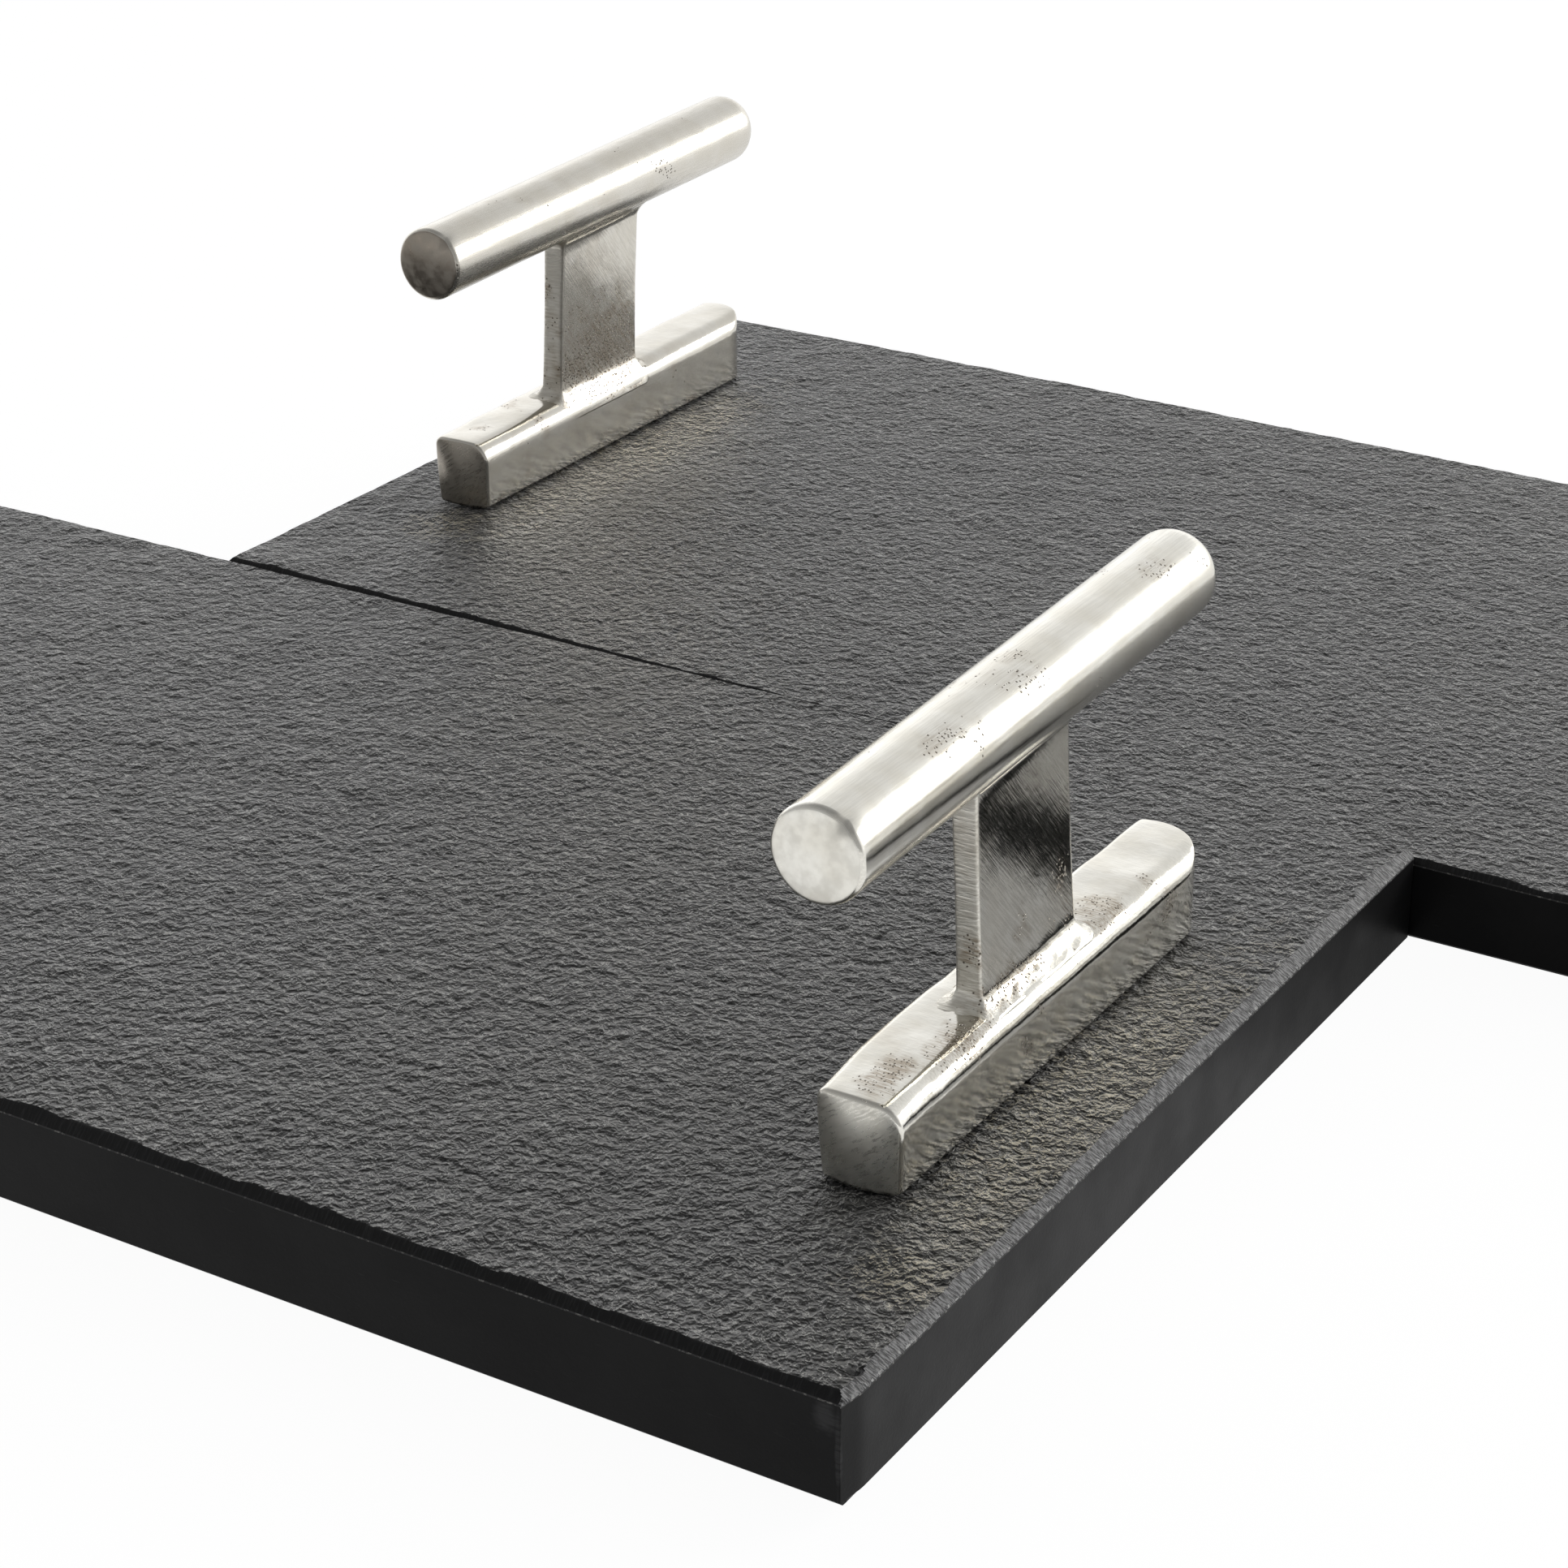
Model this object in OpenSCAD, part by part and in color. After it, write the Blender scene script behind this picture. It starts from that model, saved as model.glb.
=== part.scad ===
// A pair of slate serving boards, pushed together side by side and shifted along the seam.
// Each board is a bevelled slab with an upright metal handle near both ends.
// Millimetres. X runs along the seam, Y across it, Z up from the table.
// The origin is on the table, in the middle of the pair, under the seam.

/* [Boards] */
// Length of each board, along the seam
board_length = 457; // [380:1:620]
// Width of each board, across the seam
board_width = 203; // [160:1:260]
// Thickness of the slate
slab_thickness = 19; // [15:0.5:26]
// How far the rear board is shifted to the right of the front one
board_offset = 179.6; // [0:5:280]
// Leg of the 45 degree bevel round the top face
edge_bevel = 2; // [0.8:0.1:3.5]
// Leg of the small arris round the underside
lower_arris = 0.6; // [0.3:0.1:1.2]
// Radius of the slab's upright corners
corner_radius = 1.6; // [0.6:0.1:4]

/* [Handle base] */
// Middle of each handle, measured in from the end of its board
handle_inset = 26.4; // [20:0.2:45]
// Length of the base across the board
base_length = 111; // [92:1:140]
// Width of the base
base_width = 13.6; // [12:0.2:17]
// Height of the base at its middle
base_height = 14.8; // [13:0.2:20]
// Radius of the crown along the top of the base
base_crown = 40; // [30:1:80]
// Rounding of the base's long top edges
base_round = 3; // [1.5:0.1:4]
// Radius of the base's near end, which is slightly domed
base_near_dome = 22; // [15:1:40]
// Rounding of the corners at the base's near end
base_near_round = 2.4; // [1:0.1:3.5]
// Radius of the base's far end, which is a rounded nose
base_far_dome = 9; // [8.6:0.1:30]
// Rounding of the corners at the base's far end
base_far_round = 3; // [1:0.1:4]

/* [Handle web] */
// Width of the web, along the base
web_width = 30.5; // [20:0.5:44]
// Thickness of the web
web_thickness = 5; // [3.5:0.1:6]
// Radius of the fillet at the foot of the web
foot_fillet = 2.5; // [1:0.1:3]
// Radius of the fillet under the bar
head_fillet = 2; // [1:0.1:3]

/* [Handle bar] */
// Diameter of the round bar
bar_diameter = 15.9; // [13:0.1:20]
// Length of the round bar
bar_length = 126; // [100:1:160]
// Height of the bar's axis above the slate
bar_lift = 61; // [45:0.5:85]
// Radius of the bar's near end, which is nearly flat
bar_near_dome = 60; // [20:1:90]
// Rounding of the rim at the bar's near end
bar_near_round = 1.3; // [0.6:0.1:3]
// Radius of the bar's far end, which is well rounded
bar_far_dome = 12; // [10.5:0.5:30]
// Rounding of the rim at the bar's far end
bar_far_round = 4.4; // [1:0.1:6]

/* [Hand fitting] */
// Front board: base off the middle line of its board
front_base_offset = 1.5; // [-9:0.1:9]
// Front board: web off the middle line
front_web_offset = -3.8; // [-6:0.1:6]
// Front board: bar off the middle line
front_bar_offset = -2.1; // [-6:0.1:6]
// Rear board: base off the middle line
rear_base_offset = 7.8; // [-9:0.1:9]
// Rear board: web off the middle line
rear_web_offset = 1.4; // [-6:0.1:6]
// Rear board: bar off the middle line
rear_bar_offset = 0.6; // [-6:0.1:6]
// Rear board: how much longer its two bases are
rear_base_stretch = 4.5; // [0:0.5:8]

/* [Fasteners] */
// Distance between the two screws of a handle
screw_spacing = 70; // [50:1:76]
// Thread diameter of the screws
screw_diameter = 5; // [4:0.5:6]
// Clearance round the screw in the slate
screw_clearance = 0.8; // [0.4:0.1:1.6]
// Clearance round the thread in the handle base
thread_clearance = 0.1; // [0.05:0.05:0.2]
// Diameter of the button head
head_diameter = 9.5; // [8.5:0.1:11]
// Height of the button head
head_height = 2.75; // [2:0.05:3.5]
// Width across flats of the socket in the head
socket_width = 3; // [2:0.1:4]
// Outer diameter of the washer
washer_diameter = 11; // [10:0.5:12]
// Thickness of the washer
washer_thickness = 1; // [0.6:0.1:1.6]
// Diameter of the counterbore in the underside of the slate
counterbore_diameter = 12.5; // [12.2:0.1:16]
// Depth of the head below the underside of the slate
head_recess = 0.7; // [0.3:0.1:1.5]
// Metal left above the tapped hole in the base
tapped_roof = 3.4; // [2:0.1:5]

/* [Feet] */
// Diameter of the rubber feet
foot_diameter = 12; // [8:0.5:18]
// Height of the rubber feet
foot_height = 2; // [1.5:0.1:5]
// Rounding of the foot's lower rim
foot_round = 0.6; // [0.2:0.1:1]
// Middle of each foot, measured in from the edges of its slab
foot_inset = 22; // [14:1:34]

/* [Hidden] */
$fn = 96;
BOARDS = ["front", "rear"];
ENDS = ["left", "right"];
SIDES = ["inner", "outer"];

// Overrun that carries a cut clear of the face it leaves
cut_over = 1;
// Step that the fillets keep at their toes instead of a feather edge
toe_land = 0.3;
// Cylindrical land round the button head, and depth of its socket
head_land = 0.4;
socket_depth = 1.6;
// Chamfer at the screw's tip, and the free depth beyond it in the tapped hole
tip_chamfer = 0.6;
tap_runout = 1.4;

slab_top = foot_height + slab_thickness;
bar_radius = bar_diameter / 2;
screw_radius = screw_diameter / 2;
head_radius = head_diameter / 2;
counterbore_depth = washer_thickness + head_height + head_recess;
tapped_depth = base_height - tapped_roof;
screw_grip = slab_thickness - counterbore_depth + washer_thickness;
screw_length = screw_grip + tapped_depth - tap_runout;
washer_bottom = foot_height + counterbore_depth - washer_thickness;

slate = "#3b3c3f";
nickel = "#cfc8bb";
steel = "#a9abae";
rubber = "#1b1b1c";

// Signs of the rear board, the right end and the outer edge are +1
function board_sign(board) = board == "rear" ? 1 : -1;
function end_sign(end) = end == "right" ? 1 : -1;
function board_x(board) = board_sign(board) * board_offset / 2;
function board_y(board) = board_sign(board) * board_width / 2;
function handle_x(board, end) = board_x(board) + end_sign(end) * (board_length / 2 - handle_inset);
function base_offset(board) = board == "rear" ? rear_base_offset : front_base_offset;
function web_offset(board) = board == "rear" ? rear_web_offset : front_web_offset;
function base_reach(board) = base_length + (board == "rear" ? rear_base_stretch : 0);
function bar_offset(board) = board == "rear" ? rear_bar_offset : front_bar_offset;

// How far an arc of the given radius has fallen at a distance from its middle
function sagitta(radius, distance) = radius - sqrt(pow(radius, 2) - pow(distance, 2));

// Puts its children on the slate at a handle, off the board's middle line
module at_handle(board, end, offset) {
    translate([handle_x(board, end), board_y(board) + offset, slab_top]) children();
}

// Puts its children at both screws of a handle
module at_screws(board, end) {
    for (side = [-1, 1])
        at_handle(board, end, base_offset(board) + side * screw_spacing / 2) children();
}

// Extrudes an outline drawn in X and Z along Y, centred on the origin
module along_y(length) {
    translate([0, length / 2, 0]) rotate([90, 0, 0]) linear_extrude(length) children();
}

// Extrudes an outline drawn in Y and Z along X, centred on the origin
module along_x(length) {
    translate([-length / 2, 0, 0]) rotate([90, 0, 90]) linear_extrude(length) children();
}

// Rectangle with all four corners rounded
module rounded_rectangle(width, length, radius) {
    square([width - 2 * radius, length], center = true);
    square([width, length - 2 * radius], center = true);
    for (x = [-1, 1], y = [-1, 1])
        translate([x * (width / 2 - radius), y * (length / 2 - radius)]) circle(radius);
}

// Side view of a slab: arrises below, 45 degree bevels above
module slab_profile(length) {
    half = length / 2;
    polygon([
        [-half + lower_arris, foot_height], [half - lower_arris, foot_height],
        [half, foot_height + lower_arris], [half, slab_top - edge_bevel],
        [half - edge_bevel, slab_top], [-half + edge_bevel, slab_top],
        [-half, slab_top - edge_bevel], [-half, foot_height + lower_arris]
    ]);
}

// Half of a bar's outline, from the middle to an end whose dome runs into round corners
module domed_half(width, reach, dome, corner) {
    corner_x = width / 2 - corner;
    dome_y = reach - dome;
    corner_y = dome_y + sqrt(pow(dome - corner, 2) - pow(corner_x, 2));
    tangent_x = corner_x * dome / (dome - corner);
    translate([-width / 2, 0]) square([width, corner_y]);
    for (side = [-1, 1])
        translate([side * corner_x, corner_y]) circle(corner);
    intersection() {
        translate([0, dome_y]) circle(dome);
        translate([-tangent_x, 0]) square([2 * tangent_x, reach]);
    }
}

// Outline of the base in plan: near end towards -Y, far end towards +Y
module base_plan(length) {
    domed_half(base_width, length / 2, base_far_dome, base_far_round);
    mirror([0, 1]) domed_half(base_width, length / 2, base_near_dome, base_near_round);
}

// Half of a bar's side view, from the middle to an end with a round top corner
module side_half(reach, height, corner) {
    square([reach, height - corner]);
    square([reach - corner, height]);
    translate([reach - corner, height - corner]) circle(corner);
}

// Slate slab with bevelled edges, screw holes and counterbores from below
module slab(board) {
    color(slate) difference() {
        translate([board_x(board), board_y(board), 0]) intersection() {
            linear_extrude(slab_top) rounded_rectangle(board_length, board_width, corner_radius);
            along_y(board_width) slab_profile(board_length);
            along_x(board_length) slab_profile(board_width);
        }
        for (end = ENDS) at_screws(board, end) {
            translate([0, 0, -slab_thickness - cut_over])
                cylinder(h = slab_thickness + 2 * cut_over, d = screw_diameter + screw_clearance);
            translate([0, 0, -slab_thickness - cut_over])
                cylinder(h = counterbore_depth + cut_over, d = counterbore_diameter);
        }
    }
}

// Section of the handle base: crowned top, rounded long edges, flat underside
module base_section() {
    half_height = base_height / 2;
    intersection() {
        union() {
            translate([0, half_height]) rounded_rectangle(base_width, base_height, base_round);
            translate([0, half_height / 2]) square([base_width, half_height], center = true);
        }
        translate([0, base_height - base_crown]) circle(base_crown);
    }
}

// Solid of the handle base before it is drilled
module base_blank(length) {
    intersection() {
        along_y(length) base_section();
        linear_extrude(base_height) base_plan(length);
        along_x(base_width) {
            side_half(length / 2, base_height, base_far_round);
            mirror([1, 0]) side_half(length / 2, base_height, base_near_round);
        }
    }
}

// Handle base on the slate, with two blind tapped holes from below
module handle_base(board, end) {
    color(nickel) difference() {
        at_handle(board, end, base_offset(board)) base_blank(base_reach(board));
        at_screws(board, end) translate([0, 0, -cut_over])
            cylinder(h = tapped_depth + cut_over, d = screw_diameter + thread_clearance);
    }
}

// The web seen along the base: its thickness, flared into the base and round the bar
module web_thickness_profile() {
    foot_x = web_thickness / 2 + foot_fillet;
    foot_z = base_height - sagitta(base_crown, foot_x) + toe_land + foot_fillet;
    head_x = web_thickness / 2 + head_fillet;
    head_z = bar_lift - sqrt(pow(bar_radius + head_fillet + toe_land, 2) - pow(head_x, 2));
    head_toe = head_x * bar_radius / (bar_radius + head_fillet);
    difference() {
        union() {
            translate([-web_thickness / 2, base_height / 2])
                square([web_thickness, bar_lift - base_height / 2]);
            translate([-foot_x, base_height / 2]) square([2 * foot_x, foot_z - base_height / 2]);
            translate([-head_toe, head_z]) square([2 * head_toe, bar_lift - head_z]);
        }
        for (side = [-1, 1]) {
            translate([side * foot_x, foot_z]) circle(foot_fillet);
            translate([side * head_x, head_z]) circle(head_fillet);
        }
    }
}

// The web seen across the base: its width, flared along the base and the bar
module web_width_profile() {
    foot_y = web_width / 2 + foot_fillet;
    foot_z = base_height + toe_land + foot_fillet;
    head_y = web_width / 2 + head_fillet;
    head_z = bar_lift - bar_radius - toe_land - head_fillet;
    difference() {
        union() {
            translate([-web_width / 2, base_height / 2])
                square([web_width, bar_lift - base_height / 2]);
            translate([-foot_y, base_height / 2]) square([2 * foot_y, foot_z - base_height / 2]);
            translate([-head_y, head_z]) square([2 * head_y, bar_lift - head_z]);
        }
        for (side = [-1, 1]) {
            translate([side * foot_y, foot_z]) circle(foot_fillet);
            translate([side * head_y, head_z]) circle(head_fillet);
        }
    }
}

// Upright web: coped over the crowned base below and round the bar above
module handle_web(board, end) {
    reach = web_width + 2 * (foot_fillet + head_fillet);
    color(nickel) at_handle(board, end, web_offset(board)) difference() {
        intersection() {
            along_y(reach) web_thickness_profile();
            along_x(base_width) web_width_profile();
        }
        along_y(reach + cut_over) base_section();
        translate([0, 0, bar_lift]) rotate([90, 0, 0])
            cylinder(h = reach + cut_over, r = bar_radius, center = true);
    }
}

// Round bar: nearly flat at its near end, well rounded at its far end
module handle_bar(board, end) {
    half_length = bar_length / 2;
    color(nickel) at_handle(board, end, bar_offset(board))
        translate([0, 0, bar_lift]) rotate([-90, 0, 0]) rotate_extrude() intersection() {
            union() {
                domed_half(bar_diameter, half_length, bar_far_dome, bar_far_round);
                mirror([0, 1]) domed_half(bar_diameter, half_length, bar_near_dome, bar_near_round);
            }
            translate([0, -half_length]) square([bar_radius, bar_length]);
        }
}

// One button-head screw, from its head up: seat at the origin, thread along +Z
module button_screw() {
    dome_height = head_height - head_land;
    dome_radius = (pow(head_radius, 2) + pow(dome_height, 2)) / (2 * dome_height);
    difference() {
        union() {
            cylinder(h = screw_length - tip_chamfer, r = screw_radius);
            translate([0, 0, screw_length - tip_chamfer])
                cylinder(h = tip_chamfer, r1 = screw_radius, r2 = screw_radius - tip_chamfer);
            intersection() {
                translate([0, 0, -head_height]) cylinder(h = head_height, r = head_radius);
                translate([0, 0, dome_radius - head_height]) sphere(dome_radius);
            }
        }
        translate([0, 0, -head_height - cut_over])
            cylinder(h = socket_depth + cut_over, d = socket_width / cos(30), $fn = 6);
    }
}

// The two screws of a handle
module handle_screws(board, end) {
    color(steel) at_screws(board, end)
        translate([0, 0, washer_bottom - slab_top]) button_screw();
}

// The two washers of a handle, seated in the counterbores
module handle_washers(board, end) {
    color(steel) at_screws(board, end) translate([0, 0, washer_bottom - slab_top]) difference() {
        cylinder(h = washer_thickness, d = washer_diameter);
        translate([0, 0, -cut_over])
            cylinder(h = washer_thickness + 2 * cut_over, d = screw_diameter + screw_clearance / 2);
    }
}

// One rubber foot with a rounded lower rim
module foot(board, end, side) {
    foot_radius = foot_diameter / 2;
    outward = side == "outer" ? board_sign(board) : -board_sign(board);
    x = board_x(board) + end_sign(end) * (board_length / 2 - foot_inset);
    y = board_y(board) + outward * (board_width / 2 - foot_inset);
    color(rubber) translate([x, y, 0]) rotate_extrude() {
        square([foot_radius - foot_round, foot_height]);
        translate([0, foot_round]) square([foot_radius, foot_height - foot_round]);
        translate([foot_radius - foot_round, foot_round]) circle(foot_round);
    }
}

for (board = BOARDS) {
    slab(board);
    for (end = ENDS) {
        handle = str(board, "_", end, "_handle_");
        handle_base(board, end);
        handle_web(board, end);
        handle_bar(board, end);
        handle_screws(board, end);
        handle_washers(board, end);
        for (side = SIDES)
            foot(board, end, side);
    }
}
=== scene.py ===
"""Two slate serving boards with polished nickel handles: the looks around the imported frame.

Metres, in the part's own frame: X along the seam, Y across it, Z up from the table.
"""

import math

import bmesh
import bpy
import numpy as np
from mathutils import Matrix, Vector, geometry, noise


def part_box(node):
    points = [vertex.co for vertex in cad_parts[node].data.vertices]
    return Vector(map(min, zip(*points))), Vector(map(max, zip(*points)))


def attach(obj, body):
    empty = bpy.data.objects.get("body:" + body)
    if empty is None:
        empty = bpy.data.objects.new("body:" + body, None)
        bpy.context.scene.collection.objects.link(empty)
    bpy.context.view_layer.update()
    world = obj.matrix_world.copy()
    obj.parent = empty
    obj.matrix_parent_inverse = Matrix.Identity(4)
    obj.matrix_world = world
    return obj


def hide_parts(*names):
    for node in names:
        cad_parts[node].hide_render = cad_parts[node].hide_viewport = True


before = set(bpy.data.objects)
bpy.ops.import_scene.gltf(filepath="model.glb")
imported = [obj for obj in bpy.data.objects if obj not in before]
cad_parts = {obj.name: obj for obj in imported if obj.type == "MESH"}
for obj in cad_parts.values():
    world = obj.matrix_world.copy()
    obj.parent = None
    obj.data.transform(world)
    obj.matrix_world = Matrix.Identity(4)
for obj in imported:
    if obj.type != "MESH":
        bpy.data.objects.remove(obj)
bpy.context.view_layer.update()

MM = 0.001
ROOT = "root"
BOARDS = ("front", "rear")
ENDS = ("left", "right")


# Camera, solved from the straight edges of the slabs; its angles are in degrees
CAMERA_PLACE = Vector((0.3472, -0.55765, 0.30484))
CAMERA_AZIMUTH = 31.6
CAMERA_ELEVATION = 24.93
CAMERA_ROLL = -0.1
CAMERA_ANGLE = 24.66
CAMERA_SENSOR_MM = 36
CAMERA_CLIP_START = 10 * MM


def make_camera():
    data = bpy.data.cameras.new("camera")
    data.sensor_width = CAMERA_SENSOR_MM
    data.angle = math.radians(CAMERA_ANGLE)
    data.clip_start = CAMERA_CLIP_START
    camera = bpy.data.objects.new("camera", data)
    bpy.context.scene.collection.objects.link(camera)
    turn = Matrix.Rotation(math.radians(CAMERA_AZIMUTH), 4, "Z")
    tilt = Matrix.Rotation(math.radians(90 - CAMERA_ELEVATION), 4, "X")
    roll = Matrix.Rotation(math.radians(CAMERA_ROLL), 4, "Z")
    camera.matrix_world = Matrix.Translation(CAMERA_PLACE) @ turn @ tilt @ roll
    bpy.context.scene.camera = camera


# Size of the raggedness round a blot
BLOT_BORDER = 4 * MM


class Nodes:
    """A node tree with short calls to add nodes and link their inputs."""

    def __init__(self, tree, output):
        tree.nodes.clear()
        self.tree = tree
        self.output = tree.nodes.new("ShaderNodeOutput" + output)

    def node(self, kind, inputs=None, **settings):
        made = self.tree.nodes.new("ShaderNode" + kind)
        for key, value in settings.items():
            setattr(made, key, value)
        for key, value in (inputs or {}).items():
            self.put(made.inputs[key], value)
        return made

    def put(self, socket, value):
        if isinstance(value, bpy.types.NodeSocket):
            self.tree.links.new(value, socket)
        else:
            socket.default_value = value

    def show(self, surface):
        """Makes the node the tree's result."""
        self.tree.links.new(surface.outputs[0], self.output.inputs[0])

    def place(self):
        """Object coordinates, in metres."""
        return self.node("TexCoord").outputs["Object"]

    def rays(self):
        """1 on rays from the camera, and 1 on mirrored and transmitted rays."""
        path = self.node("LightPath").outputs
        mirrored = self.math("MAXIMUM", path["Is Glossy Ray"], path["Is Transmission Ray"])
        return path["Is Camera Ray"], mirrored

    def stretch(self, vector, scale=(1, 1, 1), turn=(0, 0, 0)):
        """Coordinates scaled along each axis and then turned about it by degrees."""
        angles = [math.radians(a) for a in turn]
        mapping = self.node("Mapping", {"Vector": vector, "Scale": scale, "Rotation": angles})
        return mapping.outputs[0]

    def grain(self, vector, size, detail=4, rough=0.55, warp=0.0):
        """Noise, about 0 to 1, whose features are about the given size in metres."""
        inputs = {"Vector": vector, "Scale": 1 / size, "Detail": detail, "Roughness": rough,
                  "Distortion": warp}
        return self.node("TexNoise", inputs).outputs["Fac"]

    def away(self, vector, place, reach):
        """Distance from a place, as a share of the reach along each axis."""
        shares = self.vector("DIVIDE", self.vector("SUBTRACT", vector, place), reach)
        return self.node("VectorMath", {0: shares}, operation="LENGTH").outputs["Value"]

    def blot(self, vector, place, reach):
        """1 at a place and 0 beyond its reach along each axis, with a ragged border."""
        border = self.step(self.grain(vector, BLOT_BORDER, detail=3), 0.3, 0.7, -0.25, 0.25)
        ragged = self.math("ADD", self.away(vector, place, reach), border)
        return self.step(ragged, 0.35, 1.0, 1.0, 0.0)

    def step(self, value, low, high, to_low=0.0, to_high=1.0):
        """Maps low..high smoothly to to_low..to_high."""
        inputs = {"Value": value, 1: low, 2: high, 3: to_low, 4: to_high}
        return self.node("MapRange", inputs, interpolation_type="SMOOTHSTEP").outputs[0]

    def math(self, operation, a, b=0.0):
        return self.node("Math", {0: a, 1: b}, operation=operation).outputs[0]

    def times(self, product, *factors):
        for factor in factors:
            product = self.math("MULTIPLY", product, factor)
        return product

    def vector(self, operation, a, b):
        return self.node("VectorMath", {0: a, 1: b}, operation=operation).outputs[0]

    def mix(self, factor, a, b):
        """Colour a where the factor is 0 and b where it is 1."""
        inputs = {0: factor, 6: a, 7: b}
        return self.node("Mix", inputs, data_type="RGBA").outputs[2]

    def bump(self, height, depth, normal=None):
        """Surface relief of the given depth in metres from a 0 to 1 height."""
        inputs = {"Height": height, "Distance": depth, "Strength": 1.0}
        if normal is not None:
            inputs["Normal"] = normal
        return self.node("Bump", inputs).outputs[0]


class Shader(Nodes):
    """A material's node tree."""

    def __init__(self, name):
        self.material = bpy.data.materials.new(name)
        self.material.use_nodes = True
        super().__init__(self.material.node_tree, "Material")

    def finish(self, **inputs):
        """Ends the tree in one Principled shader; keys are its inputs with _ for spaces."""
        named = {key.replace("_", " "): value for key, value in inputs.items()}
        self.show(self.node("BsdfPrincipled", named))
        return self.material


def grey(level):
    return (level, level, level, 1.0)


# Painted glints of the light off a handle on the stone, over painted shade: middle and reach
GLINT_ZONES = (
    ((0.1300, -0.108, 0.021), (0.014, 0.072, 0.02)),
    ((0.1300, -0.172, 0.021), (0.010, 0.010, 0.02)),
    ((-0.0980, 0.100, 0.021), (0.012, 0.070, 0.02)),
    ((-0.1100, 0.040, 0.021), (0.012, 0.012, 0.02)),
)

# Marks on the stone's split face and on its edges, some of them painted light and shade: middle,
# reach, weight and colour
SLATE_MARKS = (
    ((-0.0244, -0.0302, 0.021), (0.017, 0.013, 0.02), 0.45, (0.125, 0.122, 0.110, 1)),
    # Warm painted light bounced off the front right handle
    ((0.117, -0.071, 0.021), (0.022, 0.030, 0.02), 0.25, (0.10, 0.095, 0.080, 1)),
    # Warm painted light bounced off the rear left handle
    ((-0.087, 0.082, 0.021), (0.030, 0.026, 0.02), 0.35, (0.115, 0.108, 0.095, 1)),
    ((-0.030, -0.010, 0.021), (0.024, 0.016, 0.02), 0.25, (0.10, 0.098, 0.090, 1)),
    # Painted shade in the two pits knocked out of the front board's edges
    ((0.0738, -0.0814, 0.021), (0.0016, 0.0012, 0.01), 0.95, grey(0.003)),
    ((0.1359, -0.1962, 0.021), (0.0019, 0.0006, 0.01), 0.95, grey(0.003)),
    ((0.0994, -0.1775, 0.021), (0.0015, 0.0003, 0.01), 0.85, grey(0.55)),
    ((0.0901, -0.1575, 0.021), (0.0009, 0.0003, 0.01), 0.75, grey(0.50)),
    ((-0.0499, -0.1021, 0.021), (0.0003, 0.0007, 0.01), 0.75, (0.45, 0.45, 0.44, 1)),
)
EDGE_MARKS = (
    ((0.1352, -0.203, 0.0165), (0.0026, 0.001, 0.0045), 0.9, (0.075, 0.075, 0.077, 1)),
    ((0.1376, -0.203, 0.0110), (0.0006, 0.001, 0.0110), 0.8, (0.070, 0.070, 0.072, 1)),
)

# Where the nickel is pitted and stained: middle and reach
BAR_PITS = (
    ((0.1150, -0.1346, 0.0882), (0.003, 0.009, 0.003)),
    ((0.1103, -0.1056, 0.0897), (0.003, 0.004, 0.003)),
    ((0.1150, -0.1086, 0.0880), (0.003, 0.005, 0.003)),
    ((0.1129, -0.0606, 0.0894), (0.003, 0.006, 0.003)),
)
BASE_PITS = (
    ((0.1120, -0.146, 0.0358), (0.004, 0.010, 0.004)),
    ((0.1160, -0.130, 0.0355), (0.005, 0.013, 0.004)),
    ((0.1150, -0.080, 0.0355), (0.006, 0.009, 0.004)),
)
WEB_PITS = (
    ((0.1150, -0.112, 0.0375), (0.005, 0.014, 0.003)),
    ((0.1125, -0.121, 0.0460), (0.003, 0.003, 0.004)),
    ((-0.1098, 0.105, 0.0430), (0.012, 0.026, 0.0165)),
)

# Split face: sizes of its wavelets, crests and clouds, depth of its relief, and the step over a
# crest, away from the side that the light leaves dark
WAVELET_SIZE = 2.2 * MM
CREST_SIZE = 1.5 * MM
CREST_WEIGHT = 0.75
CLOUD_SIZE = 60 * MM
CLEFT_RELIEF = 1.6 * MM
BEHIND_CREST = (-0.16 * MM, 0.26 * MM, 0.0)
STONE_DARK = (0.036, 0.036, 0.037, 1)
STONE_PALE = (0.052, 0.0515, 0.049, 1)
# Painted shade near the handles, under their painted glints
PAINTED_SHADE_NEAR_HANDLE = (0.012, 0.011, 0.009, 1)
# Painted shade for the wavelets' fronts and painted light for their backs
STONE_IN_SHADE = grey(0.006)
STONE_IN_LIGHT = (0.20, 0.198, 0.190, 1)
# Painted highlights along the crests, warm ones where the handles' light glints
PAINTED_CREST_HIGHLIGHT = (0.52, 0.515, 0.495, 1)
PAINTED_CREST_GLINT = (0.85, 0.77, 0.58, 1)
# Painted glint of the light off a handle
STONE_GLINT = (0.52, 0.46, 0.33, 1)


def cleft_height(s, p):
    """Relief of the split face, soft wavelets with sharp crests, and the distance to a crest."""
    soft = s.grain(p, WAVELET_SIZE, detail=4, rough=0.5, warp=0.4)
    fine = s.grain(p, CREST_SIZE, detail=4, rough=0.5, warp=0.5)
    crest = s.math("ABSOLUTE", s.math("SUBTRACT", fine, 0.5))
    return s.math("SUBTRACT", s.math("ADD", soft, 0.2), s.times(crest, CREST_WEIGHT)), crest


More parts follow.
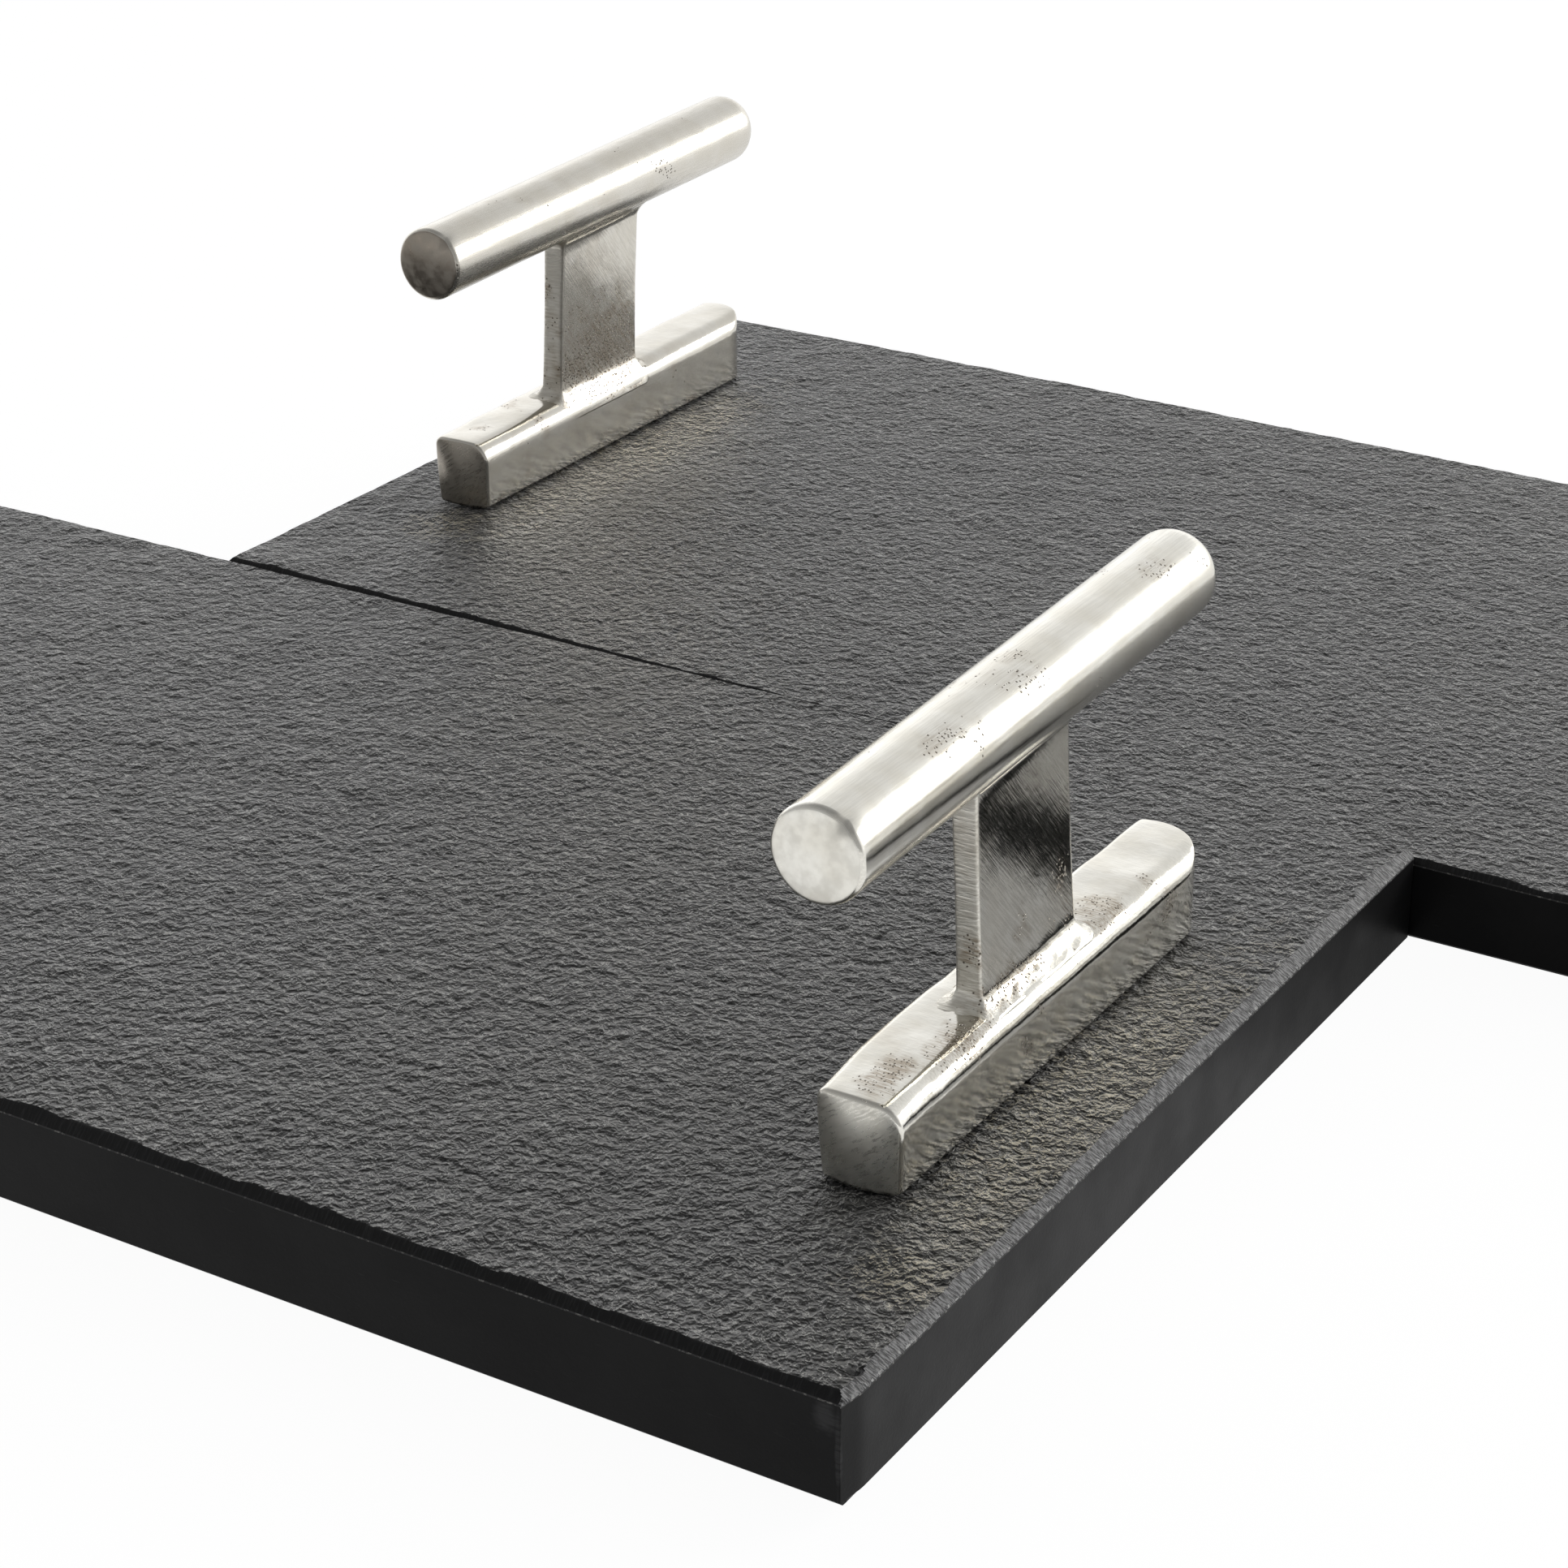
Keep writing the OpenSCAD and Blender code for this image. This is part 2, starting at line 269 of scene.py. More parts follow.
def slate_top_material():
    """Split and leathered face of the slate: wavelets with painted light on their backs and painted
    shade in front.
    """
    s = Shader("slate_split_face")
    p = s.place()
    height, crest = cleft_height(s, p)
    beyond, _ = cleft_height(s, s.vector("ADD", p, BEHIND_CREST))
    slope = s.math("SUBTRACT", height, beyond)
    # Painted highlight lines along the crests, on their backs only
    line = s.times(s.step(crest, 0.004, 0.034, 1.0, 0.0), s.step(slope, -0.02, 0.03))
    # Where the painted glints of the handles' light fall, over painted shade
    glow = 0.0
    for place, reach in GLINT_ZONES:
        glow = s.math("MAXIMUM", glow, s.blot(p, place, reach))
    broad = s.grain(p, CLOUD_SIZE, detail=3)
    tone = s.mix(s.step(broad, 0.35, 0.7), STONE_DARK, STONE_PALE)
    # Painted shade near the handles
    tone = s.mix(s.times(glow, 0.55), tone, PAINTED_SHADE_NEAR_HANDLE)
    # Painted shade on the wavelets' fronts and painted light on their backs
    tone = s.mix(s.step(slope, 0.01, -0.08, 0.0, 0.62), tone, STONE_IN_SHADE)
    tone = s.mix(s.step(slope, 0.0, 0.09, 0.0, 0.52), tone, STONE_IN_LIGHT)
    # Painted highlights on the crests, warm near the handles
    tone = s.mix(s.times(line, 0.90), tone, s.mix(glow, PAINTED_CREST_HIGHLIGHT, PAINTED_CREST_GLINT))
    # Painted glints on the wavelets' backs near the handles
    glint = s.times(glow, s.step(slope, 0.02, 0.08, 0.0, 0.65))
    tone = s.mix(glint, tone, STONE_GLINT)
    # Marks, among them painted light off two handles and painted shade in two pits
    for place, reach, weight, color in SLATE_MARKS:
        tone = s.mix(s.times(s.blot(p, place, reach), weight), tone, color)
    normal = s.bump(height, CLEFT_RELIEF)
    gloss = s.step(slope, -0.05, 0.06, 0.22, 0.95)
    return s.finish(Base_Color=tone, Roughness=0.36, Specular_IOR_Level=gloss, Normal=normal)


# Ground end bevels: slant of the strokes in degrees, how they are drawn out, the sizes of strokes,
# pores and chips, and the levels between which the chips end
STROKE_SLANT = (-28, 0, 0)
STROKE_DRAWN = (0.2, 1, 0.2)
STROKE_SIZE = 0.30 * MM
PORE_SIZE = 0.5 * MM
CHIP_SIZE = 0.8 * MM
CHIPS_END = (19.0 * MM, 19.4 * MM)
GROUND_DARK = (0.022, 0.022, 0.024, 1)
# Pale strokes: partly real grinding, partly painted light
GROUND_PALE_AND_LIT = (0.34, 0.34, 0.345, 1)
GROUND_PORE = grey(0.03)
GROUND_CHIP = (0.55, 0.55, 0.54, 1)


def slate_ground_material():
    """End bevels ground with a coarse wheel: fine slanted strokes over paler stone, chipped low;
    the paleness is partly painted light.
    """
    s = Shader("slate_ground_and_lit_bevel")
    p = s.place()
    slant = s.stretch(p, turn=STROKE_SLANT)
    strokes = s.grain(s.stretch(slant, scale=STROKE_DRAWN), STROKE_SIZE, detail=3, rough=0.6)
    pores = s.grain(p, PORE_SIZE, detail=3, rough=0.7)
    tone = s.mix(s.step(strokes, 0.40, 0.62), GROUND_DARK, GROUND_PALE_AND_LIT)
    tone = s.mix(s.step(pores, 0.55, 0.75, 0.0, 0.5), tone, GROUND_PORE)
    level = s.node("SeparateXYZ", {0: p}).outputs[2]
    chips = s.step(s.grain(p, CHIP_SIZE, detail=2), 0.56, 0.64)
    tone = s.mix(s.times(chips, s.step(level, *CHIPS_END, 1.0, 0.0)), tone, GROUND_CHIP)
    normal = s.bump(strokes, 0.16 * MM)
    normal = s.bump(pores, 0.08 * MM, normal)
    return s.finish(Base_Color=tone, Roughness=0.5, Specular_IOR_Level=0.5, Normal=normal)


# Bevels along the long sides: how their strokes are drawn out, and their colours
UPRIGHT_DRAWN = (1, 0.15, 0.15)
# Nearly black, partly as painted shade
BEVEL_DARK_AND_SHADED = (0.0045, 0.0045, 0.005, 1)
BEVEL_PALE = (0.022, 0.022, 0.023, 1)


def slate_dark_bevel_material():
    """Bevels along the long sides: smoother and nearly black, partly as painted shade, with faint
    upright strokes.
    """
    s = Shader("slate_dark_and_shaded_bevel")
    p = s.place()
    strokes = s.grain(s.stretch(p, scale=UPRIGHT_DRAWN), 0.5 * MM, detail=3, rough=0.6)
    tone = s.mix(s.step(strokes, 0.45, 0.72), BEVEL_DARK_AND_SHADED, BEVEL_PALE)
    normal = s.bump(strokes, 0.06 * MM)
    return s.finish(Base_Color=tone, Roughness=0.5, Specular_IOR_Level=0.25, Normal=normal)


# Partly real crushing and chips, partly a painted highlight along the edge
ARRIS_DARK = (0.040, 0.040, 0.041, 1)
ARRIS_CHIP_AND_HIGHLIGHT = (0.34, 0.335, 0.32, 1)


def slate_arris_material():
    """Thin crushed line where a bevel meets the side below it, with pale chips; its paleness is
    partly a painted highlight of the edge.
    """
    s = Shader("slate_crushed_arris_and_highlight")
    p = s.place()
    chips = s.step(s.grain(p, 1.1 * MM, detail=3, rough=0.75), 0.50, 0.66)
    tone = s.mix(chips, ARRIS_DARK, ARRIS_CHIP_AND_HIGHLIGHT)
    normal = s.bump(chips, 0.06 * MM)
    return s.finish(Base_Color=tone, Roughness=0.6, Specular_IOR_Level=0.4, Normal=normal)


# Honed edges: how the scratches are drawn out and turned, in degrees, and the colours
SCRATCH_DRAWN = (0.12, 0.12, 1)
SCRATCH_TURN = (17, 9, 0)
HONED_DARK = (0.009, 0.009, 0.0095, 1)
HONED_PALE = (0.014, 0.014, 0.0145, 1)
HONED_DUST = grey(0.09)
HONED_SCRATCH = grey(0.08)


def slate_honed_material():
    """Sawn and honed edges and underside: nearly black, with a faint satin gloss."""
    s = Shader("slate_honed_edge")
    p = s.place()
    cloud = s.grain(p, 14 * MM, detail=4)
    dust = s.step(s.grain(p, 0.7 * MM, detail=2, rough=0.7), 0.66, 0.8)
    scratch = s.grain(s.stretch(p, SCRATCH_DRAWN, SCRATCH_TURN), 0.5 * MM, detail=2)
    tone = s.mix(s.step(cloud, 0.3, 0.7), HONED_DARK, HONED_PALE)
    tone = s.mix(s.times(dust, 0.10), tone, HONED_DUST)
    tone = s.mix(s.step(scratch, 0.68, 0.78, 0.0, 0.12), tone, HONED_SCRATCH)
    for place, reach, weight, color in EDGE_MARKS:
        smear = s.times(s.blot(p, place, reach), s.step(scratch, 0.3, 0.6, 0.35, 1.0))
        tone = s.mix(s.times(smear, weight), tone, color)
    normal = s.bump(s.grain(p, 0.6 * MM, detail=3), 0.02 * MM)
    rough = s.step(cloud, 0.3, 0.7, 0.44, 0.36)
    return s.finish(Base_Color=tone, Roughness=rough, Specular_IOR_Level=0.095, Normal=normal)


# Nickel: sizes and depths of what the casting and the polishing left, and colours
SWELL_SIZE, SWELL_DEPTH = 8 * MM, 0.07 * MM
CLUSTER_SIZE = 12 * MM
PIT_SPACING, PIT_DEPTH = 0.65 * MM, 0.20 * MM
TARNISH_SIZE = 13 * MM
DENT_SIZE = 2.4 * MM
NICKEL_WARM = (0.81, 0.785, 0.705, 1)
NICKEL_BRIGHT = (0.88, 0.866, 0.805, 1)
NICKEL_DULL = (0.34, 0.30, 0.255, 1)
NICKEL_LINE = (0.60, 0.575, 0.515, 1)
NICKEL_TARNISH = (0.30, 0.235, 0.165, 1)
NICKEL_PIT = (0.11, 0.085, 0.06, 1)


def nickel_material(name, polish, scale, size, depth, turn=(0, 0, 0), stain=0.15, marks=(),
                    dull=0.0, pitted=0.8, drawn=0.25, dent=0.0):
    """Hand polished nickel plate. Its drawn lines are noise of the given size, drawn out by scale.

    polish is the roughness. dull darkens and warms the whole plate, pitted scatters casting pits
    over it, stain tarnishes it and drawn is the weight of the lines, all from 0 to 1. depth is
    that of the lines, and dent that of the shallow dents left by the casting.
    """
    s = Shader(name)
    p = s.place()
    lines = s.grain(s.stretch(s.stretch(p, turn=turn), scale=scale), size, detail=3, rough=0.6)
    swell = s.grain(p, SWELL_SIZE, detail=2)
    cluster = s.times(s.step(s.grain(p, CLUSTER_SIZE, detail=2), 0.60, 0.72), pitted)
    for place, reach in marks:
        cluster = s.math("MAXIMUM", cluster, s.blot(p, place, reach))
    seeds = s.node("TexVoronoi", {"Vector": p, "Scale": 1 / PIT_SPACING}).outputs
    chance = s.node("SeparateColor", {0: seeds["Color"]}).outputs[0]
    picked = s.math("LESS_THAN", chance, s.times(cluster, 0.75))
    hole = s.times(s.step(seeds["Distance"], 0.18, 0.38, 1.0, 0.0), picked)
    tarnish = s.times(s.step(s.grain(p, TARNISH_SIZE, detail=3), 0.52, 0.75), stain)
    stained = s.step(lines, 0.35, 0.65, 0.8 * stain, 4.2 * stain)
    tarnish = s.math("ADD", tarnish, s.times(cluster, stained))
    tone = s.mix(s.step(swell, 0.3, 0.7), NICKEL_WARM, NICKEL_BRIGHT)
    tone = s.mix(dull, tone, NICKEL_DULL)
    tone = s.mix(s.step(lines, 0.35, 0.65, 0.0, drawn), tone, NICKEL_LINE)
    tone = s.mix(tarnish, tone, NICKEL_TARNISH)
    tone = s.mix(s.times(hole, 0.85), tone, NICKEL_PIT)
    rough = s.step(lines, 0.3, 0.7, polish * 0.8, polish * 1.3)
    rough = s.math("ADD", rough, s.times(hole, 0.3))
    normal = s.bump(swell, SWELL_DEPTH)
    normal = s.bump(lines, depth, normal)
    normal = s.bump(s.grain(p, DENT_SIZE, detail=2), dent, normal)
    normal = s.bump(hole, -PIT_DEPTH, normal)
    return s.finish(Base_Color=tone, Metallic=1.0, Roughness=rough, Normal=normal)


STEEL_DARK = (0.50, 0.51, 0.52, 1)
STEEL_PALE = (0.66, 0.66, 0.65, 1)


def steel_material():
    """Zinc-plated steel of the screws and washers, slightly mottled."""
    s = Shader("zinc_plated_steel")
    p = s.place()
    spin = s.grain(p, 0.5 * MM, detail=3)
    tone = s.mix(spin, STEEL_DARK, STEEL_PALE)
    rough = s.step(spin, 0.2, 0.8, 0.28, 0.42)
    normal = s.bump(spin, 0.01 * MM)
    return s.finish(Base_Color=tone, Metallic=1.0, Roughness=rough, Normal=normal)


def rubber_material():
    s = Shader("rubber_foot")
    p = s.place()
    speckle = s.grain(p, 0.4 * MM, detail=3)
    tone = s.mix(speckle, grey(0.012), grey(0.026))
    return s.finish(Base_Color=tone, Roughness=0.8, Normal=s.bump(speckle, 0.03 * MM))


def link_mesh(name, points, faces, materials, kinds=None, groups=None):
    """Makes a smooth piece from points in metres.

    kinds numbers each face's material, and groups its crease group: the edges between two groups
    stay sharp. Without groups the kinds are the groups.
    """
    mesh = bpy.data.meshes.new(name)
    mesh.from_pydata([tuple(p) for p in points], [], faces)
    for material in materials:
        mesh.materials.append(material)
    shape = bmesh.new()
    shape.from_mesh(mesh)
    shape.faces.ensure_lookup_table()
    for number, face in enumerate(shape.faces):
        face.smooth = True
        face.material_index = kinds[number] if kinds else 0
    groups = groups or kinds
    if groups:
        for edge in shape.edges:
            edge.smooth = len({groups[face.index] for face in edge.link_faces}) < 2
    if len(faces) > 1:
        bmesh.ops.recalc_face_normals(shape, faces=shape.faces)
    shape.to_mesh(mesh)
    shape.free()
    piece = bpy.data.objects.new(name, mesh)
    bpy.context.scene.collection.objects.link(piece)
    return piece


def stand_for(piece, slot, *nodes):
    """The piece rides on the part and stands for its CAD nodes, which are hidden."""
    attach(piece, ROOT)
    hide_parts(*nodes)


def wobble(x, y, z, size, depth):
    """Smooth unevenness of about +-depth whose swells are about the given size."""
    return depth * noise.noise(Vector((x, y, z)) / size)


# Slabs: legs of the 45 degree bevels, by the compass where they aren't the usual one
USUAL_BEVEL = 2.0 * MM
BEVEL_LEGS = {"front": {"east": 2.25 * MM}, "rear": {"south": 1.45 * MM}}
COMPASS = ("west", "east", "south", "north")
UPPER_ARRIS = 0.24 * MM
ARRIS_INSET = 0.4 * UPPER_ARRIS
LOWER_ARRIS = 0.6 * MM
CORNER_RADIUS = 1.3 * MM

# Relief of the split face: its depth and highest level, scales of its swells and ripples, how
# rough, close and many the ripples' octaves are, and a seed for each board
CLEFT_DEPTH = 0.80 * MM
CLEFT_MIDDLE = -0.62
HIGHEST_CLEFT = 0.05 * MM
SWELL_SCALE, SWELL_SHARE = 14.0, 0.30
RIPPLE_SCALE, RIPPLE_SHARE = 95.0, 0.40
RIPPLE_OCTAVES = (0.45, 1.9, 3)
RELIEF_SEEDS = {"front": 3.7, "rear": 9.2}

# Steps of the slab's grid: wide in the middle and narrow in a band along each edge
GRID_STEP = 1.15 * MM
EDGE_BAND = 3.2 * MM
EDGE_STEP = 0.27 * MM

# Facet ground off the front board's near right corner
FACET_RUN = 4.8 * MM
FACET_DEPTH = 0.75 * MM
FACET_GROUND = 1.3 * MM

# The hollow between the rear board's handles: depth, where it starts, is deepest and ends along
# X, and the share of its slope that is rounded
REAR_DIP = 2.9 * MM
REAR_DIP_AT = (-0.100, 0.165, 0.258)
REAR_DIP_ROUNDED = 0.35

COUNTERBORE_RADIUS = 6.25 * MM
HOLE_SEGMENTS = 48

# Small pits knocked out of the edges of the split face: middle, reach and depth
PIT_REACH = 1.3
PITS = {
    "front": (
        ((0.0738, -0.0814), (0.0017, 0.0013), 0.9 * MM),
        ((0.1359, -0.1962), (0.0020, 0.0006), 0.9 * MM),
    ),
    "rear": (
        ((0.0840, 0.0600), (0.0015, 0.0012), 0.7 * MM),
    ),
}

# The slab's materials, which are also the crease groups of its upper grid, and its other groups
SPLIT, GROUND, DARK, ARRIS, HONED = range(5)
CRUSHED_EDGE, SIDE, LOWER_EDGE, HOLE_WALL, HOLE_SEAT, UNDERSIDE = range(10, 16)


def graded_lines(low, high):
    """Grid lines from low to high, fine within the edge bands and even between them."""
    band = np.arange(0, EDGE_BAND - EDGE_STEP / 2, EDGE_STEP)
    count = round((high - low - 2 * EDGE_BAND) / GRID_STEP)
    middle = np.linspace(low + EDGE_BAND, high - EDGE_BAND, count + 1)
    return np.concatenate([low + band, middle, (high - band)[::-1]])


def relief(board, x, y):
    """Height of the natural split surface against the slab's top, in metres."""
    p = Vector((x, y, RELIEF_SEEDS[board]))
    swell = noise.noise(p * SWELL_SCALE)
    ripple = noise.fractal(p * RIPPLE_SCALE, *RIPPLE_OCTAVES)
    level = CLEFT_MIDDLE + SWELL_SHARE * swell + RIPPLE_SHARE * ripple
    return min(HIGHEST_CLEFT, CLEFT_DEPTH * level)


def board_dip(board, x):
    """How far the stone's split face falls away between the rear board's handles."""
    if board == "front":
        return 0.0
    share = np.interp(x, REAR_DIP_AT, (0.0, 1.0, 0.0))
    rounded = REAR_DIP * share * share * (3 - 2 * share) * REAR_DIP_ROUNDED
    return rounded + REAR_DIP * share * (1 - REAR_DIP_ROUNDED)


def pit_depth(board, x, y):
    depth = 0.0
    for (px, py), (rx, ry), deep in PITS[board]:
        away = math.hypot((x - px) / rx, (y - py) / ry)
        if away < PIT_REACH:
            depth += deep * (1 - away / PIT_REACH)
    return depth


def round_corner(x, y, low, high):
    """Moves a point of the slab's grid into its rounded upright corners."""
    cx = min(max(x, low.x + CORNER_RADIUS), high.x - CORNER_RADIUS)
    cy = min(max(y, low.y + CORNER_RADIUS), high.y - CORNER_RADIUS)
    dx, dy = x - cx, y - cy
    if dx == 0 or dy == 0:
        return x, y
    share = max(abs(dx), abs(dy)) / math.hypot(dx, dy)
    return cx + dx * share, cy + dy * share


def slab_point(board, x, y, low, high):
    """A point of the slab's upper grid, and the material that the stone has there."""
    west, east, south, north = [BEVEL_LEGS[board].get(side, USUAL_BEVEL) for side in COMPASS]
    top = high.z - board_dip(board, x)
    across = min(x - low.x - west, high.x - x - east)
    along = min(y - low.y - south, high.y - y - north)
    cut = top + min(across, along)
    split = top + relief(board, x, y) - pit_depth(board, x, y)
    ground = across < along or (board == "front" and x > high.x - FACET_GROUND)
    kind = SPLIT if cut >= split else GROUND if ground else DARK
    facet = board == "front" and x > high.x - 2 * FACET_RUN and y < low.y + 2 * FACET_RUN
    px, py = (x, y) if facet else round_corner(x, y, low, high)
    return [px, py, min(cut, split)], kind


class Skin:
    """Points and faces of a piece, with the material and the crease group of each face."""

    def __init__(self):
        self.points, self.faces, self.kinds, self.groups = [], [], [], []

    def ring(self, points):
        """Adds points and returns their numbers."""
        start = len(self.points)
        self.points += points
        return range(start, len(self.points))

    def face(self, corners, kind, group):
        self.faces.append(tuple(corners))
        self.kinds.append(kind)
        self.groups.append(group)


def slab_top(skin, board, low, high):
    """Adds the slab's upper grid and returns the points of its rim, going round."""
    xs, ys = graded_lines(low.x, high.x), graded_lines(low.y, high.y)
    nx, ny = len(xs), len(ys)
    made = [slab_point(board, x, y, low, high) for y in ys for x in xs]
    skin.ring([point for point, kind in made])
    for j in range(ny - 1):
        for i in range(nx - 1):
            a = j * nx + i
            quad = (a, a + 1, a + nx + 1, a + nx)
            found = [made[k][1] for k in quad]
            kind = max(set(found), key=lambda kind: (found.count(kind), kind))
            skin.face(quad, kind, kind)
    rim = list(range(nx))
    rim += [j * nx + nx - 1 for j in range(1, ny)]
    rim += [(ny - 1) * nx + i for i in range(nx - 2, -1, -1)]
    rim += [j * nx for j in range(ny - 2, 0, -1)]
    return rim


def slab_sides(skin, rim, low, high):
    """Adds the slab's sides below its rim and returns the ring of their lowest points."""
    outline = [tuple(skin.points[k]) for k in rim]
    middle = (low + high) / 2
    inward = []
    for x, y, z in outline:
        on_x = min(abs(x - low.x), abs(high.x - x)) < CORNER_RADIUS
        on_y = min(abs(y - low.y), abs(high.y - y)) < CORNER_RADIUS
        inward.append((math.copysign(on_x, middle.x - x), math.copysign(on_y, middle.y - y)))
    for k, (inward_x, inward_y) in zip(rim, inward):
        skin.points[k][0] += ARRIS_INSET * inward_x
        skin.points[k][1] += ARRIS_INSET * inward_y
    # Each row's inset, height, material and crease group
    rows = ((0.0, lambda z: z - UPPER_ARRIS, ARRIS, CRUSHED_EDGE),
            (0.0, lambda z: low.z + 0.5 * (z - low.z), HONED, SIDE),
            (0.0, lambda z: low.z + LOWER_ARRIS, HONED, SIDE),
            (LOWER_ARRIS, lambda z: low.z, HONED, LOWER_EDGE))
    above = rim
    for inset, height, kind, group in rows:
        row = skin.ring([[x + inset * inward_x, y + inset * inward_y, height(z)]
                         for (x, y, z), (inward_x, inward_y) in zip(outline, inward)])
        for m in range(len(row)):
            n = (m + 1) % len(row)
            skin.face((above[m], row[m], row[n], above[n]), kind, group)
        above = row
    return above


def grind_facet(skin, low, high):
    """Moves the points near the front board's near right corner back to its ground facet."""
    for point in skin.points:
        run = point[1] - low.y
        if run < FACET_RUN:
            point[0] = min(point[0], high.x - FACET_DEPTH * (1 - run / FACET_RUN))


def slab_holes(board):
    """Middle and seat level of each counterbore, from the washers that sit in them."""
    holes = []
    for end in ENDS:
        low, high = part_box(f"{board}_{end}_handle_washers")
        radius, x = (high.x - low.x) / 2, (low.x + high.x) / 2
        holes += [(x, low.y + radius, high.z), (x, high.y - radius, high.z)]
    return holes


def slab_underside(skin, board, border, low):
    """Adds the counterbores and the flat underside round them."""
    loops, keys = [[Vector(skin.points[k]) for k in border]], list(border)
    turns = [2 * math.pi * m / HOLE_SEGMENTS for m in range(HOLE_SEGMENTS)]
    for x, y, seat in slab_holes(board):
        mouth, roof = (
            skin.ring([[x + COUNTERBORE_RADIUS * math.cos(a), y + COUNTERBORE_RADIUS * math.sin(a),
                        level] for a in turns])
            for level in (low.z, seat))
        for m in range(HOLE_SEGMENTS):
            n = (m + 1) % HOLE_SEGMENTS
            skin.face((mouth[m], mouth[n], roof[n], roof[m]), HONED, HOLE_WALL)
        skin.face(roof, HONED, HOLE_SEAT)
        loops.append([Vector(skin.points[k]) for k in mouth])
        keys += mouth
    for triangle in geometry.tessellate_polygon(loops):
        skin.face([keys[k] for k in triangle], HONED, UNDERSIDE)


def slab_piece(board, materials):
    low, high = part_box(f"{board}_slab")
    skin = Skin()
    rim = slab_top(skin, board, low, high)
    lowest = slab_sides(skin, rim, low, high)
    if board == "front":
        grind_facet(skin, low, high)
    slab_underside(skin, board, lowest, low)
    return link_mesh(f"{board}_slate", skin.points, skin.faces, materials, skin.kinds, skin.groups)


def make_slabs():
    materials = [slate_top_material(), slate_ground_material(), slate_dark_bevel_material(),
                 slate_arris_material(), slate_honed_material()]
    for board in BOARDS:
        stand_for(slab_piece(board, materials), "slate", f"{board}_slab")


class Fit:
    """How one handle's hand fitting differs from the drawn handle; lengths are given in mm.

    lean shifts the bar along X, and yaw and tilt are its slopes in plan and in side view. slip
    moves the web in plan, thick and wide are its size, and seed is that of the handle's
    unevenness. left and right are the base's reaches to each side at its front, shoulder and
    back, lift how far its top climbs towards the back, and sweep the radius of its back end.
    """

    def __init__(self, lean, yaw, tilt, slip, thick, wide, seed,
                 left=(7.2, 7.6, 7.5), right=(6.9, 6.9, 6.9), lift=0.3, sweep=11.0):
        self.lean, self.yaw, self.tilt = lean * MM, yaw, tilt
        self.slip = [distance * MM for distance in slip]
        self.thick, self.wide, self.seed = thick * MM, wide * MM, seed
        self.left, self.right = [r * MM for r in left], [r * MM for r in right]
        self.lift, self.sweep = lift * MM, sweep * MM


FITS = {
    ("front", "right"): Fit(-2.2, -0.022, 0.015, (0.0, 0.5), 4.5, 31.9, 3,
                            left=(8.0, 9.8, 8.7), right=(7.05, 7.05, 6.8), lift=0.7),
    ("front", "left"): Fit(0.8, 0.008, -0.006, (0.0, 0.0), 4.9, 31.2, 5),
    ("rear", "left"): Fit(1.4, -0.012, 0.024, (-0.3, 0.0), 5.2, 31.0, 8,
                          left=(8.5, 9.2, 10.2), right=(5.9, 5.5, 4.6), lift=1.2, sweep=10.0),
    ("rear", "right"): Fit(-0.7, 0.010, 0.008, (0.0, 0.2), 4.8, 31.3, 13),
}

# Bases: roundings, the share of the length up to the shoulder, height of the crown, the left
# side's tuck at its foot, rims, the front end's dome with the share of the height at which it
# stands out most and its loss at the top, the swept back end's length, and their unevenness
BASE_CORNERS = {"left": 2.0 * MM, "right": 4.2 * MM}
BASE_FOOT_ROUND = 0.6 * MM
BASE_SHOULDER = 0.25
BASE_CROWN = 0.25 * MM
BASE_TUCK = 0.16
BASE_RIM = 0.7 * MM
BASE_DOME, BASE_DOME_RUN = 1.7 * MM, 12 * MM
DOME_HEIGHT, DOME_FALL = 0.25, 0.8
SWEEP_RUN = 24 * MM
BASE_WAVE_SIZE, BASE_WAVE_DEPTH, BASE_WAVE_FROM = 9 * MM, 0.09 * MM, 3 * MM
BASE_USUAL_RADIUS = 6 * MM

# Bars: sides, rims and domes of the near and the far end, unevenness, and the nick in the near rim
BAR_SIDES = 96
BAR_RIMS = (0.9 * MM, 5.2 * MM)
BAR_DOMES = (0.7 * MM, 0.8 * MM)
BAR_DOME_RUNS = (3 * MM, 8 * MM)
BAR_WAVE_ROUND, BAR_WAVE_ALONG, BAR_WAVE_SIZE, BAR_WAVE_DEPTH = 9, 14 * MM, 5, 0.05 * MM
NICK_AT, NICK_WIDTH = math.radians(54), math.radians(15)
NICK_RUN, NICK_DEPTH = 1.0 * MM, 0.35 * MM

# Webs: fillets and their steps in degrees, corners, waists, unevenness and the bead at the foot
FOOT_FILLET = 3.0 * MM
FOOT_SWEEP = 1.05
HEAD_FILLET = 2.3 * MM
FILLET_STEPS, FILLET_STEP = 10, 9
WEB_STEPS = 22
WEB_SINK = 0.3 * MM
WEB_CORNER = 0.5 * MM
WEB_WAIST_X, WEB_WAIST_Y = 0.08, 0.005
WEB_WAVE_SIZE, WEB_WAVE_DEPTH, WEB_WAVE_FROM = 11 * MM, 0.10 * MM, 1.2 * MM
BEAD_SIZE, BEAD_DEPTH, BEAD_TOP = 2.1 * MM, 0.30 * MM, 1.3 * FOOT_FILLET

# Lofted pieces: the distance between usual stations, a flat end's scales, the steps round its
# rim, and the sections of an end that have its own material
STATION = 1.6 * MM
END_SCALES = (0.04, 0.2, 0.4, 0.6, 0.8, 0.93)
RIM_STEPS = 8
END_SECTIONS = 8


